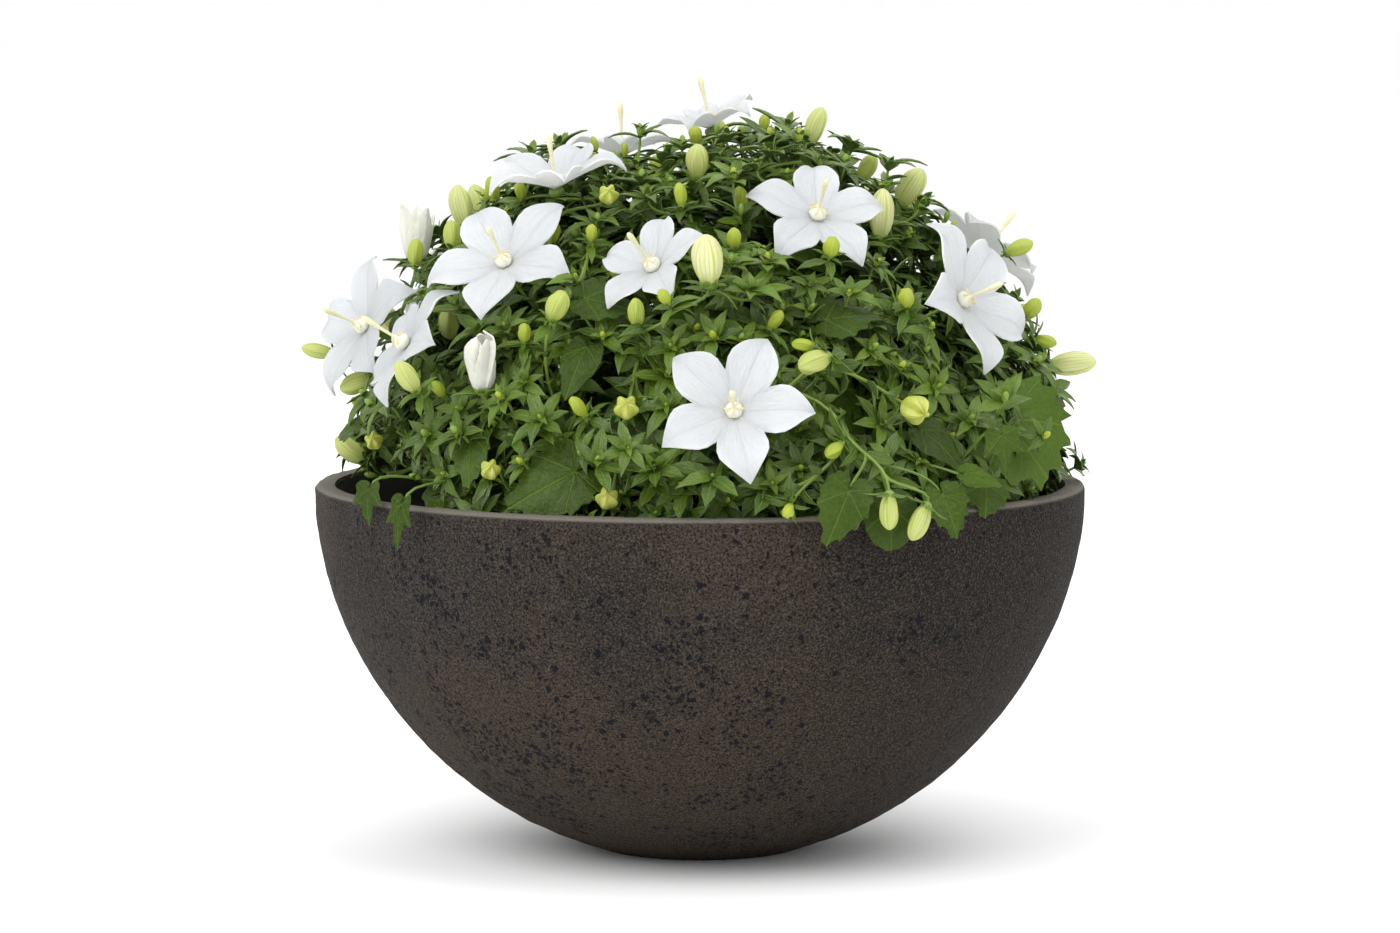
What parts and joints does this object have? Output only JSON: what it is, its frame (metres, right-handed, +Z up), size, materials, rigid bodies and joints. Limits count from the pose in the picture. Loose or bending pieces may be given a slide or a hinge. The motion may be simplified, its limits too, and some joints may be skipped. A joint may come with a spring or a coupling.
{
  "type": "potted bellflower",
  "caption": "Half-round stone bowl planted with a dome of white bellflower: leafy stems, star-shaped open flowers and pointed buds.",
  "frame": {"origin": "middle of the bowl's flat foot, on the surface that it stands on", "axes": "+Z up along the bowl's axis, -Y towards the side that faces the viewer, +X to the viewer's right"},
  "size_m": [0.2278, 0.233, 0.2204],
  "materials": {
    "stone": "rough, finely granular, with small dark pits",
    "soil": "matt, crumbly",
    "petal": "satin, finely veined",
    "pistil": "satin",
    "leaf": "semi-matt, veined"
  },
  "bodies": {
    "root": {"bowl": "stone", "soil": "soil", "corolla_01": "petal", "corolla_02": "petal", "corolla_03": "petal", "corolla_04": "petal", "corolla_05": "petal", "corolla_06": "petal", "corolla_07": "petal", "corolla_08": "petal", "corolla_09": "petal", "corolla_10": "petal", "corolla_11": "petal", "corolla_12": "petal", "corolla_13": "petal", "corolla_14": "petal", "corolla_15": "petal", "corolla_16": "petal", "corolla_17": "petal", "corolla_18": "petal", "corolla_19": "petal", "corolla_20": "petal", "corolla_21": "petal", "pistil_01": "pistil", "pistil_02": "pistil", "pistil_03": "pistil", "pistil_04": "pistil", "pistil_05": "pistil", "pistil_06": "pistil", "pistil_07": "pistil", "pistil_08": "pistil", "pistil_09": "pistil", "pistil_10": "pistil", "pistil_11": "pistil", "pistil_12": "pistil", "pistil_13": "pistil", "pistil_14": "pistil", "pistil_15": "pistil", "pistil_16": "pistil", "pistil_17": "pistil", "pistil_18": "pistil", "pistil_19": "pistil", "leafy_stem_01": "leaf", "leafy_stem_02": "leaf", "leafy_stem_03": "leaf", "leafy_stem_04": "leaf", "leafy_stem_05": "leaf", "leafy_stem_06": "leaf", "leafy_stem_07": "leaf", "leafy_stem_08": "leaf", "leafy_stem_09": "leaf", "leafy_stem_10": "leaf", "leafy_stem_11": "leaf", "leafy_stem_12": "leaf", "leafy_stem_13": "leaf", "leafy_stem_14": "leaf", "leafy_stem_15": "leaf"}
  },
  "joints": []
}
